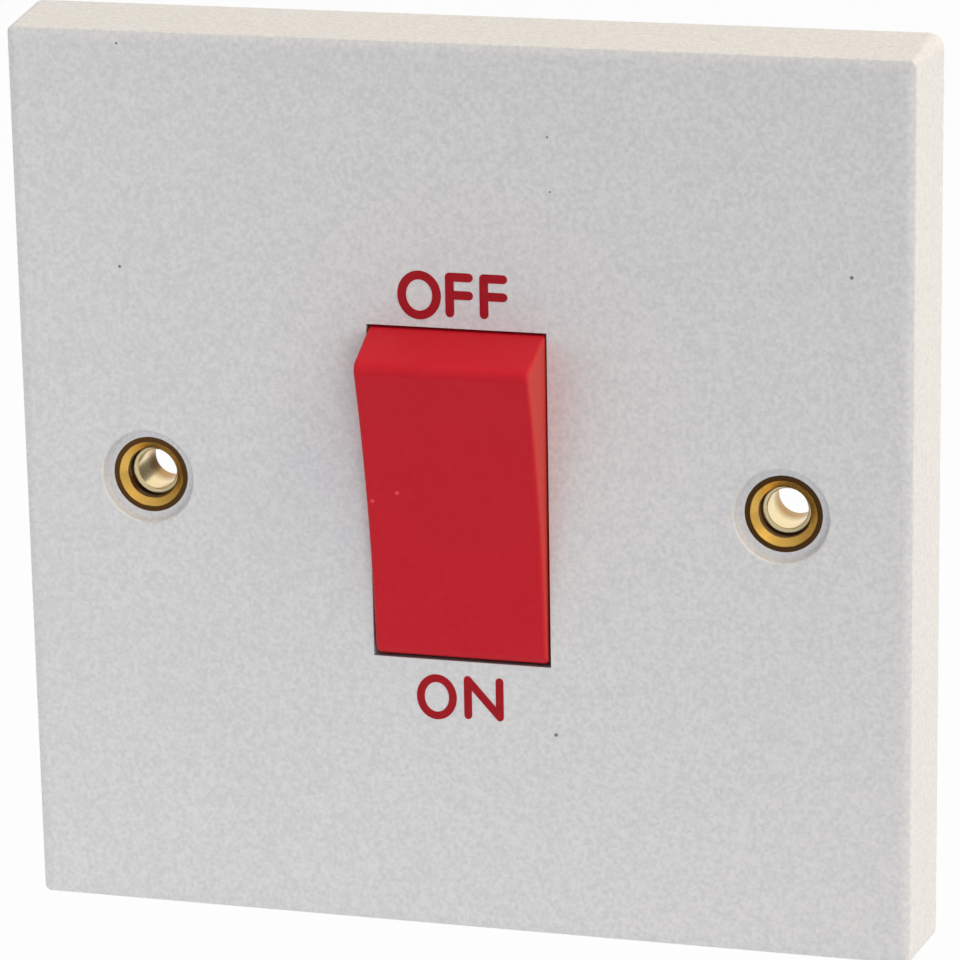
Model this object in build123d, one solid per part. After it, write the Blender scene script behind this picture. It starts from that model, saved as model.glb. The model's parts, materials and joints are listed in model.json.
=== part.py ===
from build123d import *
import math
import os

# Single-gang double pole rocker switch: a square moulded plate, a rocker, and a switch base
# screwed to the back of the plate with two identical poles in it.
# Millimetres. X is to the right and Z is up as seen from the front, and +Y goes into the wall.
# The rear rim of the plate lies in the plane y = 0. The rocker is in its ON position, with its
# lower end pressed in nearly flush and its upper end standing out.

# Plate
PLATE_SIZE = 86.0  # square, across the rear rim
PLATE_LEAN = 0.8  # each side leans in by this much from rim to front
PLATE_DEPTH = 8.6  # wall to front face
PLATE_WALL = 2.8  # front wall
RIM_WALL = 2.2  # side walls
CORNER_R = 1.4  # corners in plan, at the rim
ROLL_W = 1.0  # border of the front that rolls off towards the edge
ROLL_D = 0.2  # how far it falls there
EDGE_R = 0.5  # round between the sides and the front
RIB_T = 1.2  # moulded ribs
RIB_H = 3.0

# Fixing bushes, pressed into bosses of the plate
FIX_PITCH = 60.3  # between the two box lugs
BUSH_R = 3.6
BUSH_BORE_R = 1.9
BUSH_L = 6.8
BUSH_SINK = 1.0  # rim of the bush below the front face
BUSH_RIM = 0.5  # flat rim round the countersink
BUSH_CONE = 0.6  # depth of the countersink
BUSH_STEP = 0.5  # width of the ledge between the countersink and the bore
BUSH_DROP = 1.0  # depth of the ledge below the countersink
BUSH_LIP = 0.3  # rounding of the ledge into the bore
RECESS_R = 4.4  # moulded recess over the bush, at the front face
RECESS_DRAFT = 0.15  # how much narrower it is at its floor
RECESS_LIP = 0.15  # chamfer round its mouth
BOSS_WALL = 1.8

# Rocker and the opening it swings in
APERTURE_W = 17.0
APERTURE_H = 31.8
ROCKER_TILT = 10.4  # degrees each way from level
ROCKER_WALL = 1.8
ROCKER_DRAFT = 1.2  # degrees, on the two sides
ROCKER_DISH = 0.9  # hollow of the finger face
CREST_R = 1.1  # round of the two crests
SIDE_R = 0.4  # round of the side edges
SKIRT_DEPTH = 2.2  # skirt behind the pivot
PRESSED_LIFT = 0.3  # pressed crest above the front of the plate
PIVOT_DEPTH = 3.2  # pivot axis behind the front of the plate
PIVOT_R = 1.3
PIVOT_L = 2.5  # each pivot stub, from the side of the opening
SIDE_GAP = 0.1  # rocker to the sides of the opening
CREST_GAP = 0.2  # pressed crest to the end of the opening
SKIRT_GAP = 0.3  # skirts to the ends of the opening
PIVOT_GAP = 0.05  # running clearance of the pivots
CRADLE_WALL = 2.4  # either side of a pivot

# Plungers and springs, in two tubes of the rocker
PLUNGER_R = 2.2
PLUNGER_GAP = 0.05  # running clearance in the tube
PLUNGER_REACH = 12.4  # pivot axis to the nose
PLUNGER_L = 8.0  # shoulder to nose
SPIGOT_R = 1.1  # stem that centres the spring
SPIGOT_L = 2.0
TUBE_WALL = 1.2
TUBE_REACH = 7.4  # pivot axis to the end of the tube
SPRING_WIRE_R = 0.3
SPRING_R = 1.75  # middle of the wire
SPRING_TURNS = 4
NOSE_GAP = 0.05  # nose to moving contact at mid travel

# Moving contacts, which rock on the supply straps
BAR_W = 6.0
BAR_T = 1.5
BAR_TAIL = 10.5  # fulcrum to the free end
CONTACT_ARM = 12.5  # fulcrum to the silver contact
CONTACT_TILT = 7.0  # degrees each way from level
CONTACT_GAP = 0.05  # between the closed contacts
FULCRUM_R = 1.4
FULCRUM_GAP = 0.05
SADDLE_WALL = 0.6  # round the groove that the fulcrum rocks in
TIP_R = 2.4
TIP_T = 1.0
TIP_DOME_R = 10.0
RIVET_R = 1.2
RIVET_TAIL_R = 1.8
RIVET_TAIL_T = 0.5
BAR_CORNER_R = 1.2  # corners in plan

# Straps and terminals
STRAP_T = 1.5
STRAP_W = 6.4
BEND_R = 0.5  # inside of the fold
STRAP_FOOT = 3.0  # wide end of a strap, beside its terminal
TERMINAL_X = 9.2  # terminals either side of the middle
BLOCK_W = 10.0
BLOCK_D = 10.5
BLOCK_L = 12.0
BLOCK_EDGE = 0.5  # chamfer
WIRE_R = 3.0  # tunnel for the wire
THREAD_T = 3.0  # metal between the tunnel and the rear of the block
SCREW_R = 2.0
SCREW_L = 6.5
SCREW_HEAD_R = 2.6
SCREW_HEAD_H = 2.0
SCREW_PITCH = 6.4
HEAD_GAP = 0.2  # round the screw heads, in the rear of the base
SLOT_W = 0.9
SLOT_D = 1.0
EARTH_W = 7.6
EARTH_L = 8.0
EARTH_WIRE_R = 2.4

# Base
BASE_WALL = 2.0
BASE_FLOOR = 2.5
BASE_CORNER_R = 1.5
BASE_EDGE_R = 0.8  # round of the rear edges
COLLAR_H = 4.8  # wall on the plate that the base stands on
BARRIER_T = 2.0  # wall between the poles, where their straps leave room for it
POCKET_GAP = 0.1  # round the terminals
ROOM = 0.6  # free space round what swings
EAR_R = 3.4
EAR_T = 3.0
EAR_Z = 24.0
BASE_SCREW_R = 1.4
BASE_SCREW_L = 7.5
BASE_SCREW_HEAD_R = 2.7
BASE_SCREW_HEAD_H = 1.9
POST_W = 5.4  # posts of the plate that hold the terminals down

# Shared by all pieces
FIT_GAP = 0.02  # round pressed, riveted and threaded pieces
OVERLAP = 0.5  # how far joined features of one piece run into each other

# Depths worked out from the plate
FRONT_Y = -PLATE_DEPTH
WALL_Y = FRONT_Y + PLATE_WALL
SEAT_Y = WALL_Y + COLLAR_H
PIVOT_Y = FRONT_Y + PIVOT_DEPTH
LEAN_ANGLE = math.degrees(math.atan2(PLATE_LEAN, PLATE_DEPTH))
FIX_X = FIX_PITCH / 2
BUSH_Y = FRONT_Y + BUSH_SINK
BOSS_R = BUSH_R + BOSS_WALL

# Rocker at level, about its pivot: the pressed crest comes down to the plate, beside the end of
# the opening, and the ends are rounds about the pivot from the plate inwards
TILT = math.radians(ROCKER_TILT)
PRESSED_DOWN = APERTURE_H / 2 - CREST_GAP
PRESSED_OUT = PIVOT_DEPTH + PRESSED_LIFT
CREST_UP = PRESSED_DOWN * math.cos(TILT) - PRESSED_OUT * math.sin(TILT)
CREST_OUT = PRESSED_OUT * math.cos(TILT) + PRESSED_DOWN * math.sin(TILT)
OPENING_R = math.hypot(APERTURE_H / 2, PIVOT_DEPTH)
SKIRT_R = OPENING_R - SKIRT_GAP
FOOT_ANGLE = math.degrees(math.asin(PIVOT_DEPTH / SKIRT_R)) - ROCKER_TILT
SKIRT_HALF_W = APERTURE_W / 2 - SIDE_GAP
FACE_HALF_W = SKIRT_HALF_W - (CREST_OUT + SKIRT_DEPTH) * math.tan(math.radians(ROCKER_DRAFT))
SKIN_OUT = CREST_OUT - ROCKER_DISH - ROCKER_WALL
BORE_R = PLUNGER_R + PLUNGER_GAP
POLE_X = FACE_HALF_W - TUBE_WALL - BORE_R
SHOULDER_OUT = PLUNGER_L - PLUNGER_REACH
CRADLE_X = APERTURE_W / 2 + SIDE_GAP
CRADLE_END = CRADLE_X + PIVOT_L + SIDE_GAP
SLOT_HALF = PIVOT_R + PIVOT_GAP

# Moving contact: its fulcrum lies under the pivot, and its closed contact sets the floor
FULCRUM_Y = PIVOT_Y + PLUNGER_REACH + NOSE_GAP + BAR_T
LEAN = math.radians(CONTACT_TILT)
DOME_Y = TIP_T - TIP_DOME_R
CLOSED_Y = DOME_Y * math.cos(LEAN) + CONTACT_ARM * math.sin(LEAN) + TIP_DOME_R
FIXED_Z = CONTACT_ARM * math.cos(LEAN) - DOME_Y * math.sin(LEAN)
FIXED_Y = FULCRUM_Y + CLOSED_Y + CONTACT_GAP
STRAP_Y = FIXED_Y + TIP_T
FLOOR_Y = STRAP_Y + STRAP_T
BASE_REAR = FLOOR_Y + BASE_FLOOR

# Plan of the base: the swinging pieces set its chamber, and the terminals lie beyond it
CHAMBER_Z = max(SKIRT_R, FIXED_Z + TIP_R) + ROOM
BLOCK_Z = CHAMBER_Z + STRAP_T
BLOCK_Y = FLOOR_Y - BLOCK_D
TUNNEL_Y = FLOOR_Y - THREAD_T - WIRE_R
EARTH_TUNNEL_Y = FLOOR_Y - THREAD_T - EARTH_WIRE_R
INNER_X = TERMINAL_X + BLOCK_W / 2 + POCKET_GAP
INNER_Z = BLOCK_Z + BLOCK_L + POCKET_GAP
BASE_X = INNER_X + BASE_WALL
BASE_Z = INNER_Z + BASE_WALL
EAR_X = BASE_X + EAR_R - OVERLAP
EARTH_X = -(BASE_X + POCKET_GAP + EARTH_W / 2)
SKIRT_REACH = SKIRT_DEPTH * math.cos(TILT) + SKIRT_R * math.sin(TILT)
BARRIER_Y = PIVOT_Y + SKIRT_REACH + ROOM
BARRIER_HALF = min(BARRIER_T / 2, POLE_X - STRAP_W / 2 - POCKET_GAP)
POLES = {"neutral": 1, "line": -1}  # side of the middle, as seen from the front
ENDS = {"load": 1, "supply": -1}  # above and below the rocker

PIVOT_AXIS = Axis((0, PIVOT_Y, 0), (1, 0, 0))
FULCRUM_AXIS = Axis((0, FULCRUM_Y, 0), (1, 0, 0))


def facing(y, x=0.0, z=0.0):
    """Plane at a depth, drawn on as seen from the front, with its normal out of the wall."""
    return Plane(origin=(x, y, z), x_dir=(1, 0, 0), z_dir=(0, -1, 0))


def from_side(x, y):
    """Plane seen along X, drawn on as (up, out) about the depth y."""
    return Plane(origin=(x, y, 0), x_dir=(0, 0, 1), z_dir=(1, 0, 0))


def from_above(y):
    """Plane seen along Z, drawn on as (right, out) about the depth y."""
    return Plane(origin=(0, y, 0), x_dir=(1, 0, 0), z_dir=(0, 0, -1))


def from_rear(x, y, z):
    """Plane at a point with its normal into the wall, for screws put in from behind."""
    return Plane(origin=(x, y, z), x_dir=(1, 0, 0), z_dir=(0, 1, 0))


def slab(sketch, y_front, y_rear):
    """Front-view sketch run from one depth to another."""
    return extrude(facing(y_rear) * sketch, y_rear - y_front)


def area(x0, x1, z0, z1):
    """Front-view rectangle between two corners."""
    return Pos((x0 + x1) / 2, (z0 + z1) / 2) * Rectangle(abs(x1 - x0), abs(z1 - z0))


def disc(x, z, radius):
    """Front-view circle."""
    return Pos(x, z) * Circle(radius)


def rod_x(radius, x0, x1, y, z=0.0):
    """Round bar along X between two places, at a depth and a height."""
    return Pos((x0 + x1) / 2, y, z) * Rot(0, 90, 0) * Cylinder(radius, abs(x1 - x0))


def turned(*points):
    """Solid of revolution about local Z from a half section of (radius, height) points."""
    half = make_face(Polyline(*points, close=True))
    return revolve(Plane.XZ * half, Axis.Z)


def other_side(part, side):
    """Part of the right-hand pole, or its mirror image for the left-hand one."""
    return part if side > 0 else mirror(part, about=Plane.YZ)


def base_outline():
    """Outside of the base in plan, with the bay of the earth terminal on its left."""
    bay_x = EARTH_X - EARTH_W / 2 - POCKET_GAP - BASE_WALL
    bay_z = EARTH_L / 2 + POCKET_GAP + BASE_WALL
    return RectangleRounded(2 * BASE_X, 2 * BASE_Z, BASE_CORNER_R) + area(bay_x, 0, -bay_z, bay_z)


def earth_bay():
    """Inside of the earth terminal's bay in plan."""
    return Pos(EARTH_X, 0) * Rectangle(EARTH_W + 2 * POCKET_GAP, EARTH_L + 2 * POCKET_GAP)


def ear(side, end):
    """Lug beside the base in plan, which takes a base screw."""
    z = end * EAR_Z
    return disc(side * EAR_X, z, EAR_R) + area(side * (BASE_X - OVERLAP), side * EAR_X, z - EAR_R, z + EAR_R)


def hold_down(x, z):
    """Cross-shaped post behind the plate that holds a terminal down on the floor of the base."""
    cross = Rectangle(POST_W, RIB_T) + Rectangle(RIB_T, POST_W)
    return slab(Pos(x, z) * cross, WALL_Y - OVERLAP, BLOCK_Y)


def rolled_profile():
    """Section through the front, flat in the middle and rolled off past both edges of the plate."""
    flat = PLATE_SIZE / 2 - PLATE_LEAN - ROLL_W
    radius = (ROLL_W**2 + ROLL_D**2) / (2 * ROLL_D)
    angle = math.asin(ROLL_W / radius)
    past = PLATE_SIZE / 2 + OVERLAP
    foot = PLATE_DEPTH - ROLL_D - (PLATE_LEAN + OVERLAP) * math.tan(angle)
    edges = [Line((-flat, PLATE_DEPTH), (flat, PLATE_DEPTH)), Line((-past, 0), (past, 0))]
    for side in (-1, 1):
        edge = (side * (flat + ROLL_W), PLATE_DEPTH - ROLL_D)
        edges.append(RadiusArc((side * flat, PLATE_DEPTH), edge, side * radius))
        edges.append(Line(edge, (side * past, foot)))
        edges.append(Line((side * past, foot), (side * past, 0)))
    return make_face(edges)


def plate_shell():
    """Outside of the plate: a leaning rim round a flat front that rolls off at its border."""
    shell = extrude(
        facing(0) * RectangleRounded(PLATE_SIZE, PLATE_SIZE, CORNER_R), PLATE_DEPTH, taper=LEAN_ANGLE
    )
    shell = fillet(shell.faces().sort_by(Axis.Y)[0].edges(), EDGE_R)
    shell &= extrude(from_side(0, 0) * rolled_profile(), PLATE_SIZE, both=True)
    return shell & extrude(from_above(0) * rolled_profile(), PLATE_SIZE, both=True)


def front_plate():
    """Moulded plate: leaning rim, opening, bush bosses, and what carries the base and the rocker."""
    shell = plate_shell()
    inside = PLATE_SIZE - 2 * RIM_WALL
    plate = shell - extrude(facing(0) * Rectangle(inside, inside), -WALL_Y, taper=LEAN_ANGLE)

    inner_wall = area(-INNER_X, INNER_X, -INNER_Z, INNER_Z)
    collar = base_outline() - inner_wall - earth_bay()
    plate += slab(collar, WALL_Y - OVERLAP, SEAT_Y)
    rim_end = inside / 2 - PLATE_LEAN + OVERLAP
    rib_y = WALL_Y + RIB_H
    for side in POLES.values():
        plate += slab(disc(side * FIX_X, 0, BOSS_R), WALL_Y - OVERLAP, BUSH_Y + BUSH_L)
        rib = area(side * (BASE_X - OVERLAP), side * rim_end, -RIB_T / 2, RIB_T / 2)
        plate += slab(rib, WALL_Y - OVERLAP, rib_y)
        cradle_half = SLOT_HALF + CRADLE_WALL
        cradle = area(side * CRADLE_X, side * CRADLE_END, -cradle_half, cradle_half)
        plate += slab(cradle, WALL_Y - OVERLAP, SEAT_Y - ROOM)
        for end in ENDS.values():
            rib_x = side * TERMINAL_X
            rib = area(rib_x - RIB_T / 2, rib_x + RIB_T / 2, end * (BASE_Z - OVERLAP), end * rim_end)
            plate += slab(rib, WALL_Y - OVERLAP, rib_y)
            plate += hold_down(rib_x, end * (BLOCK_Z + BLOCK_L / 2))
            plate += slab(ear(side, end), WALL_Y - OVERLAP, SEAT_Y)
    plate += hold_down(EARTH_X, 0)

    plate -= rod_x(OPENING_R, -APERTURE_W / 2, APERTURE_W / 2, PIVOT_Y)
    for side in POLES.values():
        plate -= slab(disc(side * FIX_X, 0, BUSH_R + FIT_GAP), FRONT_Y - OVERLAP, BUSH_Y + BUSH_L)
        plate -= facing(FRONT_Y, side * FIX_X) * turned(
            (0, 0),
            (RECESS_R + RECESS_LIP, 0),
            (RECESS_R, -RECESS_LIP),
            (RECESS_R - RECESS_DRAFT, -BUSH_SINK),
            (0, -BUSH_SINK),
        )
        slot_end = CRADLE_END + OVERLAP
        seat = area(side * CRADLE_X, side * slot_end, -SLOT_HALF, SLOT_HALF)
        plate -= slab(seat, PIVOT_Y, SEAT_Y)
        plate -= rod_x(SLOT_HALF, side * (APERTURE_W / 2 - OVERLAP), side * slot_end, PIVOT_Y)
        for end in ENDS.values():
            pilot = disc(side * EAR_X, end * EAR_Z, BASE_SCREW_R + FIT_GAP)
            plate -= slab(pilot, SEAT_Y + EAR_T - BASE_SCREW_L - OVERLAP, SEAT_Y)
    return plate


def fixing_bush(side):
    """Turned brass bush with a countersunk mouth and a ledge above its bore."""
    ledge_r = BUSH_BORE_R + BUSH_STEP
    ledge = BUSH_CONE + BUSH_DROP
    bush = turned(
        (BUSH_R, 0),
        (BUSH_R, -BUSH_L),
        (BUSH_BORE_R, -BUSH_L),
        (BUSH_BORE_R, -ledge - BUSH_LIP),
        (BUSH_BORE_R + BUSH_LIP, -ledge),
        (ledge_r, -ledge),
        (ledge_r, -BUSH_CONE),
        (BUSH_R - BUSH_RIM, 0),
    )
    return facing(BUSH_Y, side * FIX_X) * bush


def rocker_outline(depth):
    """Side view of the rocker about its pivot: dished face, flared ends, and skirts to a depth."""
    skirt_angle = -math.degrees(math.asin(depth / SKIRT_R))
    crest = Vector(CREST_UP, CREST_OUT)
    skirt = CenterArc((0, 0), SKIRT_R, skirt_angle, FOOT_ANGLE - skirt_angle)
    end = [Line(crest, skirt @ 1), skirt]
    edges = end + [mirror(edge, about=Plane.YZ) for edge in end]
    edges.append(ThreePointArc(crest, (0, CREST_OUT - ROCKER_DISH), (-CREST_UP, CREST_OUT)))
    edges.append(Line(skirt @ 0, (-(skirt @ 0).X, -depth)))
    return make_face(edges)


def rocker():
    """Hollow moulded rocker with two plunger tubes and a pivot stub on each side."""
    outline = rocker_outline(SKIRT_DEPTH)
    outline = fillet(outline.vertices().group_by(Axis.Y)[-1], CREST_R)
    body = extrude(from_side(0, PIVOT_Y) * outline, SKIRT_HALF_W, both=True)
    section = make_face(
        Polyline(
            (SKIRT_HALF_W, -SKIRT_DEPTH),
            (FACE_HALF_W, CREST_OUT),
            (-FACE_HALF_W, CREST_OUT),
            (-SKIRT_HALF_W, -SKIRT_DEPTH),
            close=True,
        )
    )
    body &= extrude(from_above(PIVOT_Y) * section, SKIRT_R, both=True)
    foot_y = PIVOT_Y - SKIRT_R * math.sin(math.radians(FOOT_ANGLE))
    sides = [face for face in body.faces() if abs(face.normal_at().X) > 0.9]
    rounds = [edge for face in sides for edge in face.edges() if edge.center().Y < foot_y]
    body = fillet(rounds, SIDE_R)

    inner_half = FACE_HALF_W - ROCKER_WALL
    hollow = offset(rocker_outline(SKIRT_DEPTH + 2 * ROCKER_WALL), -ROCKER_WALL)
    body -= extrude(from_side(0, PIVOT_Y) * hollow, inner_half, both=True)
    web = area(-inner_half - OVERLAP, inner_half + OVERLAP, -RIB_T / 2, RIB_T / 2)
    top_y = PIVOT_Y - SKIN_OUT - OVERLAP
    body += slab(web, top_y, PIVOT_Y + SKIRT_DEPTH)
    for side in POLES.values():
        body += slab(disc(side * POLE_X, 0, BORE_R + TUBE_WALL), top_y, PIVOT_Y + TUBE_REACH)
    stub_end = CRADLE_X + PIVOT_L
    body += rod_x(PIVOT_R, inner_half, stub_end, PIVOT_Y)
    body += rod_x(PIVOT_R, -stub_end, -inner_half, PIVOT_Y)
    for side in POLES.values():
        body -= slab(disc(side * POLE_X, 0, BORE_R), PIVOT_Y - SKIN_OUT, PIVOT_Y + TUBE_REACH)
    return body.rotate(PIVOT_AXIS, ROCKER_TILT)


def plunger(side):
    """Round-nosed moulded plunger with a shoulder for its spring and a stem inside it."""
    nose_out = PLUNGER_R - PLUNGER_REACH
    body = turned(
        (0, nose_out),
        (PLUNGER_R, nose_out),
        (PLUNGER_R, SHOULDER_OUT),
        (SPIGOT_R, SHOULDER_OUT),
        (SPIGOT_R, SHOULDER_OUT + SPIGOT_L),
        (0, SHOULDER_OUT + SPIGOT_L),
    )
    body += Pos(0, 0, nose_out) * Sphere(PLUNGER_R)
    return (facing(PIVOT_Y, side * POLE_X) * body).rotate(PIVOT_AXIS, ROCKER_TILT)


def plunger_spring(side):
    """Compression spring between the shoulder of a plunger and the skin of the rocker.

    Its wire is drawn with six flats, which keeps a small hidden piece light.
    """
    height = SKIN_OUT - SHOULDER_OUT - 2 * (SPRING_WIRE_R + NOSE_GAP)
    coil = Helix(height / SPRING_TURNS, height, SPRING_R)
    wire = sweep(Plane(origin=coil @ 0, z_dir=coil % 0) * RegularPolygon(SPRING_WIRE_R, 6), path=coil)
    wire = Pos(0, 0, SHOULDER_OUT + SPRING_WIRE_R + NOSE_GAP) * wire
    return (facing(PIVOT_Y, side * POLE_X) * wire).rotate(PIVOT_AXIS, ROCKER_TILT)


def moving_contact(side):
    """Copper bar with a half-round fulcrum across it and a hole for its silver contact."""
    nose = CONTACT_ARM + TIP_R
    bar = slab(area(-BAR_W / 2, BAR_W / 2, -BAR_TAIL, nose), FULCRUM_Y - BAR_T, FULCRUM_Y)
    bar = fillet(bar.edges().filter_by(Axis.Y), BAR_CORNER_R)
    half_w = BAR_W / 2 - SADDLE_WALL
    fulcrum = rod_x(FULCRUM_R, -half_w, half_w, FULCRUM_Y)
    bar += fulcrum - slab(area(-BAR_W, BAR_W, -BAR_W, BAR_W), FULCRUM_Y - BAR_W, FULCRUM_Y)
    bar -= slab(disc(0, CONTACT_ARM, RIVET_R + FIT_GAP), FULCRUM_Y - BAR_T, FULCRUM_Y)
    return (Pos(side * POLE_X, 0, 0) * bar).rotate(FULCRUM_AXIS, -CONTACT_TILT)


def moving_tip(side):
    """Domed silver contact riveted through the bar."""
    head = turned((0, 0), (TIP_R, 0), (TIP_R, TIP_T), (0, TIP_T))
    head &= Pos(0, 0, DOME_Y) * Sphere(TIP_DOME_R)
    shank = turned(
        (0, OVERLAP),
        (RIVET_R, OVERLAP),
        (RIVET_R, -BAR_T),
        (RIVET_TAIL_R, -BAR_T),
        (RIVET_R, -BAR_T - RIVET_TAIL_T),
        (0, -BAR_T - RIVET_TAIL_T),
    )
    tip = from_rear(side * POLE_X, FULCRUM_Y, CONTACT_ARM) * (head + shank)
    return tip.rotate(FULCRUM_AXIS, -CONTACT_TILT)


def fixed_tip(side):
    """Flat silver contact with its rivet flush behind the load strap."""
    tip = turned(
        (0, 0),
        (TIP_R, 0),
        (TIP_R, -TIP_T),
        (RIVET_R, -TIP_T),
        (RIVET_R, -TIP_T - STRAP_T),
        (0, -TIP_T - STRAP_T),
    )
    return facing(FIXED_Y, side * POLE_X, FIXED_Z) * tip


def edge_at(part, y, z):
    """Edge of a part along X at a depth and a height."""
    return part.edges().filter_by(Axis.X).sort_by_distance((TERMINAL_X, y, z))[0]


def strap_blank(end, tongue_z):
    """Copper strap on the floor of the base, folded up against the inner end of its terminal."""
    left = POLE_X - STRAP_W / 2
    block_left = TERMINAL_X - BLOCK_W / 2
    block_right = TERMINAL_X + BLOCK_W / 2
    tongue = area(left, left + STRAP_W, tongue_z, end * CHAMBER_Z)
    foot = area(left, block_right, end * (CHAMBER_Z - STRAP_FOOT), end * CHAMBER_Z)
    upstand = area(block_left, block_right, end * CHAMBER_Z, end * BLOCK_Z)
    strap = slab(tongue + foot, STRAP_Y, FLOOR_Y) + slab(upstand, BLOCK_Y, FLOOR_Y)
    strap = fillet(edge_at(strap, STRAP_Y, end * CHAMBER_Z), BEND_R)
    return fillet(edge_at(strap, FLOOR_Y, end * BLOCK_Z), BEND_R + STRAP_T)


def load_strap(side):
    """Strap of the upper terminal, which carries the fixed contact."""
    strap = strap_blank(ENDS["load"], FIXED_Z - TIP_R - ROOM)
    strap -= slab(disc(POLE_X, FIXED_Z, RIVET_R + FIT_GAP), STRAP_Y, FLOOR_Y)
    return other_side(strap, side)


def supply_strap(side):
    """Strap of the lower terminal, with the fulcrum saddle and a rest for the open contact."""
    saddle_half = FULCRUM_R + FULCRUM_GAP + SADDLE_WALL
    strap = strap_blank(ENDS["supply"], saddle_half)
    left = POLE_X - BAR_W / 2
    saddle = area(left, left + BAR_W, -saddle_half, saddle_half)
    strap += slab(saddle, FULCRUM_Y + ROOM, STRAP_Y + OVERLAP)
    groove_half = BAR_W / 2 - SADDLE_WALL + FULCRUM_GAP
    strap -= rod_x(FULCRUM_R + FULCRUM_GAP, POLE_X - groove_half, POLE_X + groove_half, FULCRUM_Y)
    rest_r = STRAP_T / 2
    rest_z = 2 * rest_r - BAR_TAIL
    rest_y = FULCRUM_Y + (rest_r + CONTACT_GAP - rest_z * math.sin(LEAN)) / math.cos(LEAN)
    strap += rod_x(rest_r, left, left + BAR_W, rest_y, rest_z)
    strap += slab(area(left, left + BAR_W, rest_z - rest_r, rest_z + rest_r), rest_y, STRAP_Y + OVERLAP)
    return other_side(strap, side)


def tunnel_block(x, z0, z1, width, y_tunnel, radius, screw_zs):
    """Brass block with a wire tunnel along Z and screw holes from behind into the tunnel."""
    block = slab(area(x - width / 2, x + width / 2, z0, z1), BLOCK_Y, FLOOR_Y)
    block = chamfer(block.edges().filter_by(Axis.Z), BLOCK_EDGE)
    block -= Pos(x, y_tunnel, (z0 + z1) / 2) * Cylinder(radius, abs(z1 - z0))
    for z in screw_zs:
        block -= slab(disc(x, z, SCREW_R + FIT_GAP), y_tunnel, FLOOR_Y)
    return block


def screw_heights(end):
    """Heights of the two screws of a terminal."""
    middle = end * (BLOCK_Z + BLOCK_L / 2)
    return [middle - SCREW_PITCH / 2, middle + SCREW_PITCH / 2]


def terminal(side, end):
    """Main terminal block, hard against the upstand of its strap."""
    x, inner, outer = side * TERMINAL_X, end * BLOCK_Z, end * (BLOCK_Z + BLOCK_L)
    return tunnel_block(x, inner, outer, BLOCK_W, TUNNEL_Y, WIRE_R, screw_heights(end))


def earth_terminal():
    """Earth terminal block in the bay on the left of the base."""
    return tunnel_block(EARTH_X, -EARTH_L / 2, EARTH_L / 2, EARTH_W, EARTH_TUNNEL_Y, EARTH_WIRE_R, [0])


def slotted_screw(radius, length, head_r, head_h):
    """Cheese-head screw with its shank down local Z and its head above the origin."""
    tip = radius / 3
    screw = turned(
        (0, -length),
        (radius - tip, -length),
        (radius, tip - length),
        (radius, 0),
        (head_r, 0),
        (head_r, head_h - tip),
        (head_r - tip, head_h),
        (0, head_h),
    )
    slot = Pos(0, 0, head_h) * Box(2 * head_r, SLOT_W, 2 * SLOT_D)
    return screw - slot


def terminal_screw(x, z, y_tunnel, radius):
    """Terminal screw backed out until its tip is clear of the wire tunnel."""
    y = y_tunnel + radius + NOSE_GAP + SCREW_L
    return from_rear(x, y, z) * slotted_screw(SCREW_R, SCREW_L, SCREW_HEAD_R, SCREW_HEAD_H)


def terminal_screws():
    """Two screws in each of the four main terminals."""
    return Part() + [
        terminal_screw(side * TERMINAL_X, z, TUNNEL_Y, WIRE_R)
        for side in POLES.values()
        for end in ENDS.values()
        for z in screw_heights(end)
    ]


def base_screws():
    """Four self-tapping screws through the ears of the base into the plate."""
    screw = slotted_screw(BASE_SCREW_R, BASE_SCREW_L, BASE_SCREW_HEAD_R, BASE_SCREW_HEAD_H)
    return Part() + [
        from_rear(side * EAR_X, SEAT_Y + EAR_T, end * EAR_Z) * screw
        for side in POLES.values()
        for end in ENDS.values()
    ]


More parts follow.
